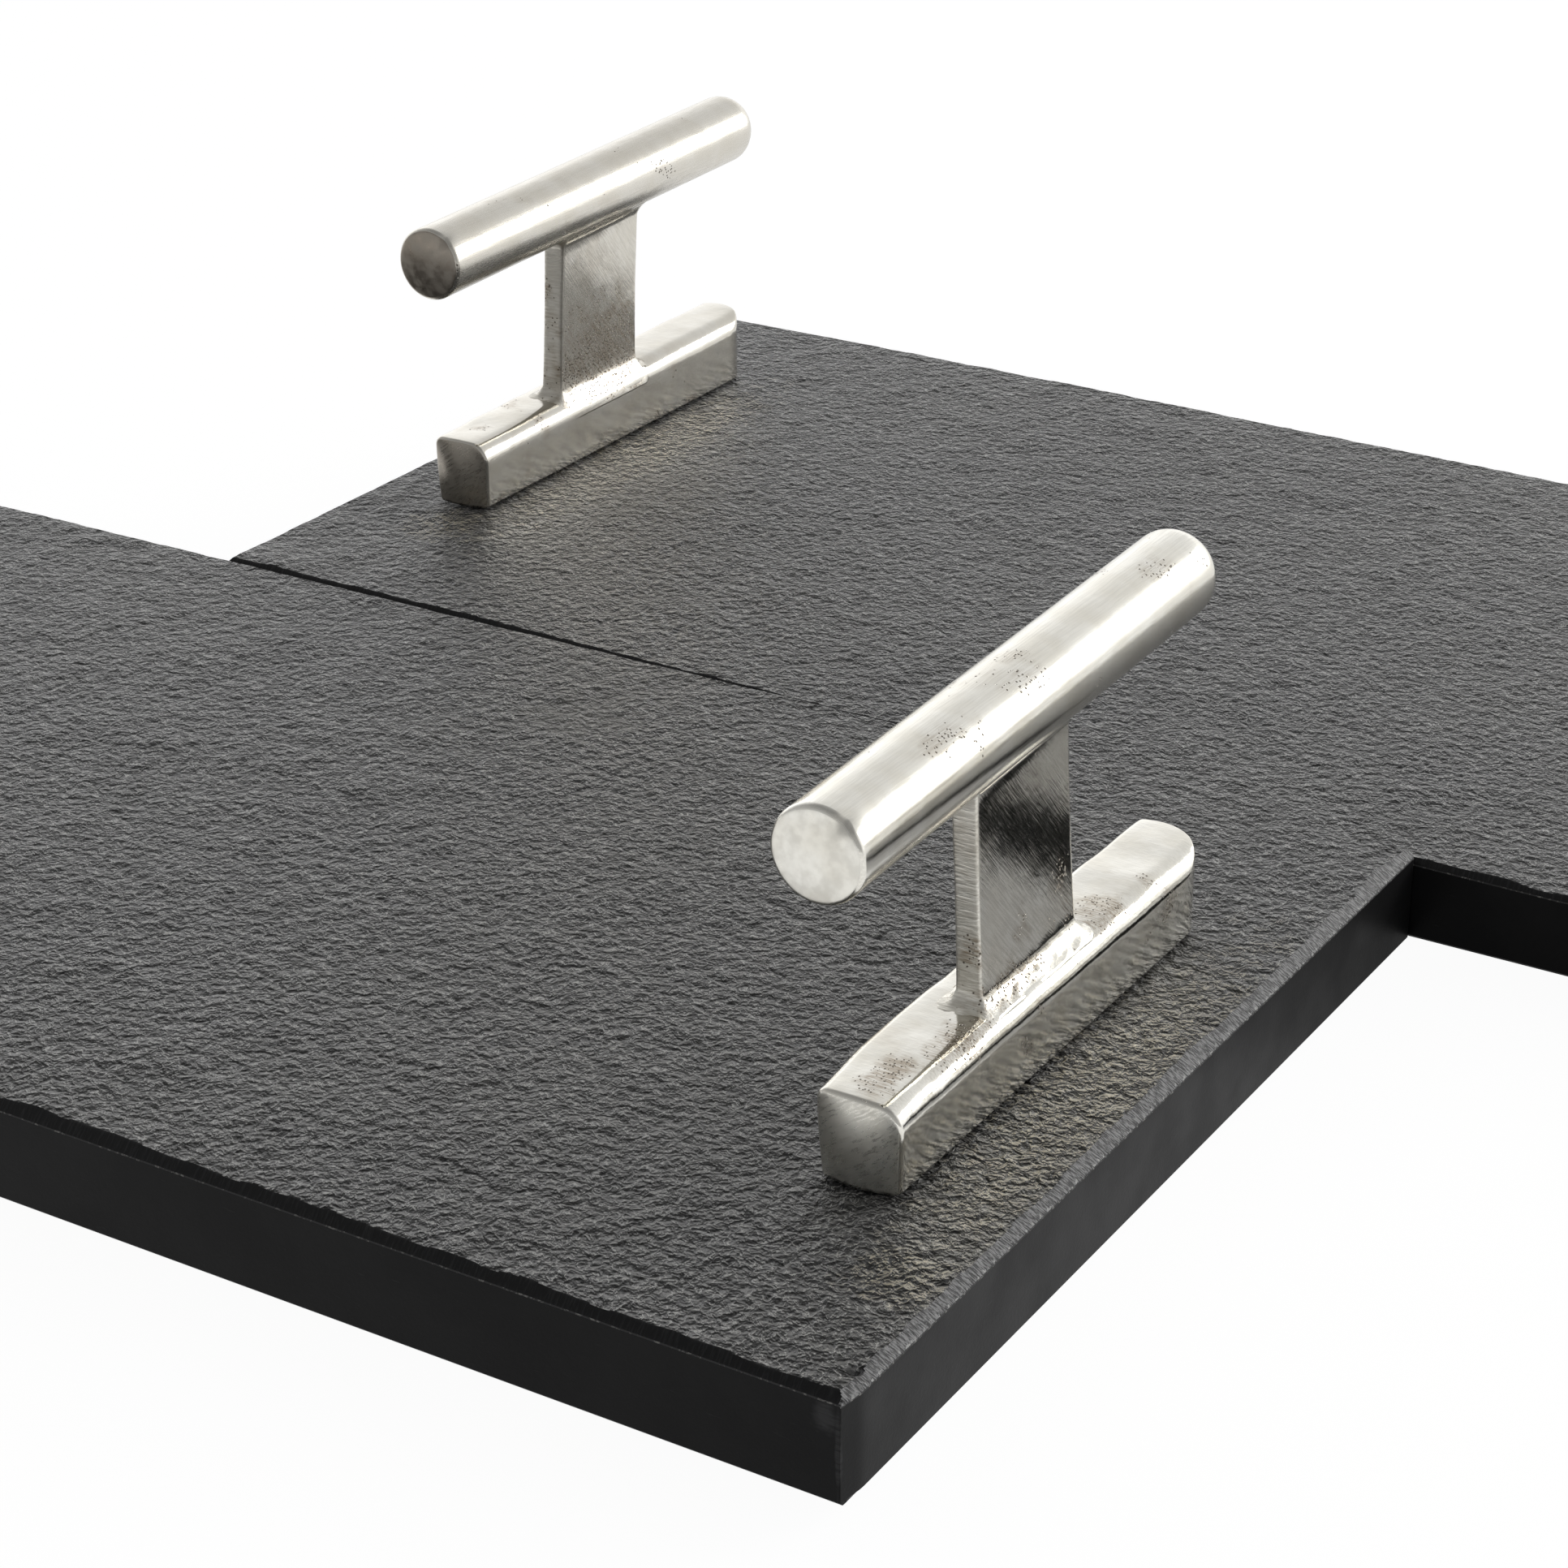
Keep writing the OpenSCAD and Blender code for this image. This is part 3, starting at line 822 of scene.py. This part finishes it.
def loft(rings):
    """Points and faces of a skin over rings of equal count, closed at both ends."""
    count = len(rings[0])
    points = [p for ring in rings for p in ring]
    faces = []
    for r in range(len(rings) - 1):
        a, b = r * count, (r + 1) * count
        faces += [(a + m, a + (m + 1) % count, b + (m + 1) % count, b + m) for m in range(count)]
    faces.append(tuple(range(count)))
    faces.append(tuple(range(len(points) - count, len(points))))
    return points, faces


def lofted_piece(name, rings, materials, kind_of, end_kinds):
    """Links a smooth loft; kind_of gives a face's material from its section and its side."""
    points, faces = loft(rings)
    count = len(rings[0])
    kinds = [kind_of(f // count, f % count) for f in range((len(rings) - 1) * count)]
    return link_mesh(name, points, faces, materials, kinds + end_kinds, [0] * len(faces))


def spread(start, end, count):
    """Values between start and end, without the two themselves."""
    return [start + (end - start) * (k + 1) / (count + 1) for k in range(count)]


def arc(cx, cy, radius, start, end, count):
    """Points of an arc between two angles in degrees."""
    turns = [math.radians(start + (end - start) * k / count) for k in range(count + 1)]
    return [(cx + radius * math.cos(a), cy + radius * math.sin(a)) for a in turns]


def rim_stations(at, way, rim):
    """From the middle of a flat end over its rounded rim: place, inset and the end's scale."""
    stations = [(at, rim, share) for share in END_SCALES]
    for k in range(RIM_STEPS + 1):
        a = math.radians(90 * k / RIM_STEPS)
        stations.append((at + way * rim * (1 - math.cos(a)), rim * (1 - math.sin(a)), 1.0))
    return stations


def stations_between(y0, y1, near_rim, far_rim):
    """Stations of a piece that lies along Y between two flat ends with rounded rims."""
    first, last = y0 + near_rim, y1 - far_rim
    stations = rim_stations(y0, 1, near_rim)
    stations += [(y, 0.0, 1.0) for y in spread(first, last, round((last - first) / STATION) - 1)]
    return stations + rim_stations(y1, -1, far_rim)[::-1]


def base_reach(reaches, share):
    """A side's reach at a share of the base's length: curved up to the shoulder, then straight."""
    front, shoulder, back = reaches
    if share < BASE_SHOULDER:
        return shoulder + (front - shoulder) * (1 - max(0.0, share) / BASE_SHOULDER) ** 2
    return shoulder + (back - shoulder) * (share - BASE_SHOULDER) / (1 - BASE_SHOULDER)


def crown(x, left, right):
    """The top's slight crown at a distance from the base's middle."""
    return BASE_CROWN * max(0.0, 1 - ((2 * x + left - right) / (left + right)) ** 2)


def base_section(left, right, height, inset):
    """Section of a bar on the slate: crisper top corner on the left, bowed left side, crown."""
    near, far = BASE_CORNERS["right"] - inset, BASE_CORNERS["left"] - inset
    left, right, height = left - inset, right - inset, height - inset
    foot = BASE_FOOT_ROUND
    path = arc(right - foot, foot, foot, -90, 0, 3)
    path += [(right, z) for z in spread(foot, height - near, 5)]
    path += arc(right - near, height - near, near, 0, 90, 10)
    path += [(x, height) for x in spread(right - near, far - left, 7)]
    path += arc(far - left, height - far, far, 90, 180, 8)
    path += [(-left, z) for z in spread(height - far, foot, 6)]
    path += arc(foot - left, foot, foot, 180, 270, 3)
    path += [(x, 0.0) for x in spread(foot - left, right - foot, 5)]
    bowed = []
    for x, z in path:
        share = max(0.0, min(1.0, z / height))
        z += crown(x, left, right) * share
        x *= 1 - BASE_TUCK * (1 - share) ** 2 if x < 0 else 1
        bowed.append((x, z))
    return bowed


def base_top(fit, x, share, height):
    """The base's top above the slate, at a distance from its middle and a share of its length."""
    left, right = base_reach(fit.left, share), base_reach(fit.right, share)
    near, far = BASE_CORNERS["right"], BASE_CORNERS["left"]
    level = height + fit.lift * share + crown(x, left, right)
    if x > right - near:
        level -= near - math.sqrt(max(0.0, near ** 2 - (x - right + near) ** 2))
    elif x < far - left:
        level -= far - math.sqrt(max(0.0, far ** 2 - (far - left - x) ** 2))
    return level


def base_piece(board, end, materials):
    """The base: a slightly domed front end, and a back end swept round from the right."""
    fit = FITS[board, end]
    low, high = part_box(f"{board}_{end}_handle_base")
    middle = (low.x + high.x) / 2
    y0, y1 = low.y + BASE_DOME, high.y
    rings = []
    for y, inset, share in stations_between(y0, y1, BASE_RIM, BASE_RIM):
        length = (y - y0) / (y1 - y0)
        left, right = base_reach(fit.left, length), base_reach(fit.right, length)
        centre, height = (right - left) / 2, high.z - low.z - BASE_CROWN + fit.lift * length
        turned = max(0.0, min(1.0, (y - (y1 - BASE_RIM) + SWEEP_RUN) / SWEEP_RUN))
        ring = []
        for x, z in base_section(left, right, height, inset):
            z = 0.5 * height + (z - 0.5 * height) * share if share < 1 else z
            x = centre + (x - centre) * share
            across = (2 * x + left - right) / (left + right)
            up = (z - DOME_HEIGHT * height) / ((1 - DOME_HEIGHT) * height)
            hang = (1 - min(1.0, across ** 2)) * (1 - DOME_FALL * min(1.0, up ** 2))
            dome = BASE_DOME * hang * max(0.0, 1 - (y - y0) / BASE_DOME_RUN)
            away = min(fit.sweep, abs(x - right + fit.sweep))
            swept = fit.sweep - math.sqrt(fit.sweep ** 2 - away ** 2)
            along = y - dome - swept * turned
            wave = wobble(x, along, z + fit.seed, BASE_WAVE_SIZE, BASE_WAVE_DEPTH)
            grow = 1 + wave * min(1.0, z / BASE_WAVE_FROM) / BASE_USUAL_RADIUS
            ring.append((middle + x * grow, along, low.z + z * grow))
        rings.append(ring)
    return lofted_piece(f"{board}_{end}_base", rings, materials,
                        lambda section, side: int(section < END_SECTIONS), [1, 0])


class BarLine:
    """The box of a handle's bar, its radius, and where its leaning axis runs."""

    def __init__(self, board, end):
        self.fit = FITS[board, end]
        self.low, self.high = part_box(f"{board}_{end}_handle_bar")
        self.middle = (self.low + self.high) / 2
        self.radius = (self.high.x - self.low.x) / 2

    def axis(self, y):
        """X and Z of the axis at a place along Y."""
        away = y - self.middle.y
        x = self.middle.x + self.fit.lean + self.fit.yaw * away
        return x, self.middle.z + self.fit.tilt * away


def bar_piece(board, end, materials):
    """The bar: nearly flat and nicked at its near end, and well rounded at its far end."""
    line = BarLine(board, end)
    y0, y1 = line.low.y + BAR_DOMES[0], line.high.y - BAR_DOMES[1]
    rings = []
    for y, inset, share in stations_between(y0, y1, *BAR_RIMS):
        near = max(0.0, 1 - (y - y0) / BAR_DOME_RUNS[0])
        far = max(0.0, 1 - (y1 - y) / BAR_DOME_RUNS[1])
        ring = []
        for m in range(BAR_SIDES):
            turn = 2 * math.pi * m / BAR_SIDES
            r = (line.radius - inset) * share
            out = r / line.radius
            along = y - BAR_DOMES[0] * (1 - out ** 2) * near + BAR_DOMES[1] * (1 - out ** 2) * far
            swing = abs((turn - NICK_AT + math.pi) % (2 * math.pi) - math.pi)
            nick = max(0.0, 1 - swing / NICK_WIDTH) * out ** 6
            along += NICK_RUN * nick * near
            x, z = line.axis(along)
            r += share * wobble(math.cos(turn) * BAR_WAVE_ROUND, along / BAR_WAVE_ALONG,
                                math.sin(turn) * BAR_WAVE_ROUND + line.fit.seed,
                                BAR_WAVE_SIZE, BAR_WAVE_DEPTH)
            r -= NICK_DEPTH * nick * near
            ring.append((x + r * math.cos(turn), along, z + r * math.sin(turn)))
        rings.append(ring)
    last = len(rings) - 1 - END_SECTIONS
    return lofted_piece(f"{board}_{end}_bar", rings, materials,
                        lambda section, side: int(not END_SECTIONS <= section <= last), [1, 1])


# Sides of the web's outline that belong to its narrow faces and the corners beside them
WEB_NARROW = {*range(53, 63), *range(109, 120), *range(3)}


def web_outline(half_x, half_y, corner):
    """Rounded rectangle in plan, with close points along its wide faces."""
    path = arc(half_x - corner, -half_y + corner, corner, -90, 0, 3)
    path += [(half_x, y) for y in spread(-half_y + corner, half_y - corner, 46)]
    path += arc(half_x - corner, half_y - corner, corner, 0, 90, 3)
    path += [(x, half_y) for x in spread(half_x - corner, corner - half_x, 6)]
    path += arc(corner - half_x, half_y - corner, corner, 90, 180, 3)
    path += [(-half_x, y) for y in spread(half_y - corner, corner - half_y, 46)]
    path += arc(corner - half_x, corner - half_y, corner, 180, 270, 3)
    path += [(x, -half_y) for x in spread(corner - half_x, half_x - corner, 6)]
    return path


def flare(away, radius):
    """How far a fillet of the radius stands out at a height above the face it runs into."""
    if away >= radius:
        return 0.0
    return radius - math.sqrt(max(0.0, radius * radius - (radius - away) ** 2))


def web_heights(rise):
    """Heights of the web's sections from just inside the base to just inside the bar."""
    falls = [1 - math.cos(math.radians(FILLET_STEP * k)) for k in range(FILLET_STEPS)]
    heights = [-WEB_SINK] + [FOOT_FILLET * fall for fall in falls]
    heights += spread(FOOT_FILLET, rise - HEAD_FILLET, WEB_STEPS)
    return heights + [rise - HEAD_FILLET * fall for fall in falls[::-1]] + [rise + WEB_SINK]


def web_piece(board, end, materials):
    """The web: flared at foot and head, following the base's top and the bar's round."""
    fit = FITS[board, end]
    base_low, base_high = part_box(f"{board}_{end}_handle_base")
    web_low, web_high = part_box(f"{board}_{end}_handle_web")
    line = BarLine(board, end)
    base_middle, height = (base_low.x + base_high.x) / 2, base_high.z - base_low.z - BASE_CROWN
    middle_x = base_middle + fit.slip[0]
    middle_y = (web_low.y + web_high.y) / 2 + fit.slip[1]
    rise = line.axis(middle_y)[1] - line.radius - base_high.z
    rings = []
    for up in web_heights(rise):
        share = max(0.0, min(1.0, up / rise))
        out = flare(max(0.0, up), FOOT_FILLET) + flare(max(0.0, rise - up), HEAD_FILLET)
        waist = math.sin(math.pi * share)
        half_x = fit.thick / 2 * (1 + WEB_WAIST_X / 2 - WEB_WAIST_X * waist) + out
        sweep = FOOT_SWEEP if share < 0.5 else 1.0
        half_y = fit.wide / 2 * (1 - WEB_WAIST_Y * waist) + out * sweep
        fillet = max(0.0, 1 - up / BEAD_TOP)
        ring = []
        for x, y in web_outline(half_x, half_y, WEB_CORNER + 0.8 * out):
            bead = wobble(x * 2, y, up + fit.seed, BEAD_SIZE, BEAD_DEPTH) * fillet * (up > 0)
            wave = wobble(0, y, up + fit.seed, WEB_WAVE_SIZE, WEB_WAVE_DEPTH)
            x += math.copysign(bead + wave, x) * min(1.0, abs(x) / WEB_WAVE_FROM)
            y_world = middle_y + y
            top_x, top_z = line.axis(y_world)
            x_world = middle_x + x + (top_x - middle_x) * share
            length = (y_world - base_low.y) / (base_high.y - base_low.y)
            foot = base_low.z + base_top(fit, x_world - base_middle, length, height)
            head = top_z - math.sqrt(max(0.0, line.radius ** 2 - (x_world - top_x) ** 2))
            level = foot + (head - foot) * share + (up - rise * share)
            ring.append((x_world, y_world, level + bead * 0.5))
        rings.append(ring)
    return lofted_piece(f"{board}_{end}_web", rings, materials,
                        lambda section, side: int(side in WEB_NARROW), [0, 0])


# How dull each board's nickel is, its roughness against new plate, and how dull its ends are
PLATING = {
    "front": {"dull": 0.07, "worn": 1.0, "bar_end": 0.0, "base_end": 0.0},
    "rear": {"dull": 0.34, "worn": 1.35, "bar_end": 1.0, "base_end": 0.85},
}

# How drawn lines run: along a handle, across it, or nowhere in particular
ALONG, ALONG_WEB, ACROSS, ACROSS_END, ANYWHERE = (
    (1, 0.04, 1), (1, 0.06, 1), (0.12, 1, 1), (0.10, 1, 1), (1, 1, 1))


def handle_materials(board):
    """The nickel of a board's bars, bases and webs: each piece's main and second material."""
    plate = PLATING[board]
    dull, worn = plate["dull"], plate["worn"]
    bar = nickel_material(
        f"{board}_nickel_bar", polish=0.19 * worn, scale=ALONG, size=0.30 * MM,
        depth=0.006 * MM, stain=0.08, marks=BAR_PITS, dull=dull, dent=0.006 * MM)
    base = nickel_material(
        f"{board}_nickel_base", polish=0.11 * worn, scale=ACROSS, size=0.30 * MM,
        depth=0.008 * MM, stain=0.18, marks=BASE_PITS, dull=dull, dent=0.045 * MM)
    web_face = nickel_material(
        f"{board}_nickel_web_face", polish=0.13 * worn, scale=ALONG_WEB, size=0.35 * MM,
        depth=0.020 * MM, turn=(48, 0, 0), stain=0.16, marks=WEB_PITS, dull=dull, drawn=0.55,
        dent=0.030 * MM)
    web_edge = nickel_material(
        f"{board}_nickel_web_edge", polish=0.40, scale=ACROSS, size=0.42 * MM,
        depth=0.10 * MM, stain=0.20, marks=WEB_PITS, dull=dull, drawn=0.85)
    bar_end = nickel_material(
        f"{board}_nickel_bar_end", polish=0.34, scale=ANYWHERE, size=2.5 * MM,
        depth=0.002 * MM, stain=0.06, dull=plate["bar_end"], pitted=0.15)
    base_end = nickel_material(
        f"{board}_nickel_base_end", polish=0.30, scale=ACROSS_END, size=0.35 * MM,
        depth=0.006 * MM, turn=(0, 35, 0), stain=0.18, dull=plate["base_end"], pitted=0.1)
    return {"base": [base, base_end], "web": [web_face, web_edge], "bar": [bar, bar_end]}


def make_handles():
    for board in BOARDS:
        materials = handle_materials(board)
        for end in ENDS:
            handle = f"{board}_{end}_handle"
            stand_for(base_piece(board, end, materials["base"]), "nickel", handle + "_base")
            stand_for(web_piece(board, end, materials["web"]), "nickel", handle + "_web")
            stand_for(bar_piece(board, end, materials["bar"]), "nickel", handle + "_bar")


# Painted shade for mirrored rays on the floor's corner between the two boards' sides: middle and
# reach
NOOK = (0.255, -0.005, 0.0)
NOOK_REACH = (0.17, 0.075, 1.0)

# What mirrored rays see of the floor inside that corner and outside it, by the share of its reach
NOOK_RAMP = (0.6, 1.1, 0.32, 0.90)

# What the camera sees of the floor: its own white, and the grey that the object's shadow falls on
FLOOR_WHITE = 0.96
FLOOR_SHADE = 0.10

# The floor's grey in the light that it throws back on the object, and half its side
FLOOR_GREY = 0.86
FLOOR_HALF = 4.0


def make_floor():
    """Pale floor that reads white to the camera and keeps the object's shadow, with painted shade
    for mirrored rays between the boards.
    """
    s = Shader("floor")
    camera, mirrored = s.rays()
    # Painted shade of the corner between the boards, seen only by mirrored rays
    nook = s.away(s.place(), NOOK, NOOK_REACH)
    white = s.math("MAXIMUM", s.times(camera, FLOOR_WHITE),
                   s.times(mirrored, s.step(nook, *NOOK_RAMP)))
    seen = s.math("MAXIMUM", camera, mirrored)
    shaded = s.node("BsdfDiffuse", {"Color": s.mix(seen, grey(FLOOR_GREY), grey(FLOOR_SHADE))})
    glow = s.node("Emission", {"Color": grey(1.0), "Strength": white})
    s.show(s.node("AddShader", {0: shaded.outputs[0], 1: glow.outputs[0]}))
    half = FLOOR_HALF
    corners = [(-half, -half, 0), (half, -half, 0), (half, half, 0), (-half, half, 0)]
    floor = link_mesh("floor", corners, [(0, 1, 2, 3)], [s.material])


# How much of the white background the metal mirrors, over the studio's own light
MIRRORED_WHITE = 0.25

# The studio's own light by direction: two shares of an axis and the light at each of them
TO_BACK = (-0.25, 0.45, 0.18, 1.0)
FROM_LOW = (0.24, 0.62, 1.30, 0.74)
TO_ZENITH = (0.62, 0.90, 1.0, 0.20)
TO_FAR_LEFT = (-0.48, -0.76, 1.0, 1.35)


def make_world():
    """White background in a studio that is bright behind and low, dim overhead and in front."""
    world = bpy.data.worlds.new("studio")
    bpy.context.scene.world = world
    world.use_nodes = True
    s = Nodes(world.node_tree, "World")
    x, y, z = s.node("SeparateXYZ", {0: s.node("TexCoord").outputs["Generated"]}).outputs
    band = s.times(s.step(z, *FROM_LOW), s.step(z, *TO_ZENITH))
    level = s.times(s.step(y, *TO_BACK), band, s.step(x, *TO_FAR_LEFT))
    camera, mirrored = s.rays()
    seen = s.math("MAXIMUM", camera, s.times(mirrored, MIRRORED_WHITE))
    s.show(s.node("Background", {"Color": s.mix(seen, level, grey(1.0)), "Strength": 1.0}))


# The key light: place and size in metres, watts and colour
KEY_PLACE = Vector((0.85, 1.25, 0.50))
KEY_SIZE = (0.9, 0.5)
KEY_POWER = 7.0
KEY_COLOR = (1.0, 0.99, 0.96)


def make_key_light():
    """One weak softbox behind the boards on the right, aimed at their middle."""
    data = bpy.data.lights.new("key_softbox", "AREA")
    data.shape = "RECTANGLE"
    data.size, data.size_y = KEY_SIZE
    data.energy = KEY_POWER
    data.color = KEY_COLOR
    lamp = bpy.data.objects.new("key_softbox", data)
    bpy.context.scene.collection.objects.link(lamp)
    lamp.location = KEY_PLACE
    lamp.rotation_euler = (-KEY_PLACE).to_track_quat("-Z", "Y").to_euler()


def steel_and_rubber():
    """Gives the CAD's own screws, washers and feet their materials."""
    steel, rubber = steel_material(), rubber_material()
    for name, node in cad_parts.items():
        if name.endswith(("_screws", "_washers")):
            node.data.materials.clear()
            node.data.materials.append(steel)
        elif name.endswith("_foot"):
            node.data.materials.clear()
            node.data.materials.append(rubber)


make_camera()
make_world()
make_key_light()
make_floor()
make_slabs()
make_handles()
steel_and_rubber()

bpy.context.scene.view_settings.view_transform = "Standard"
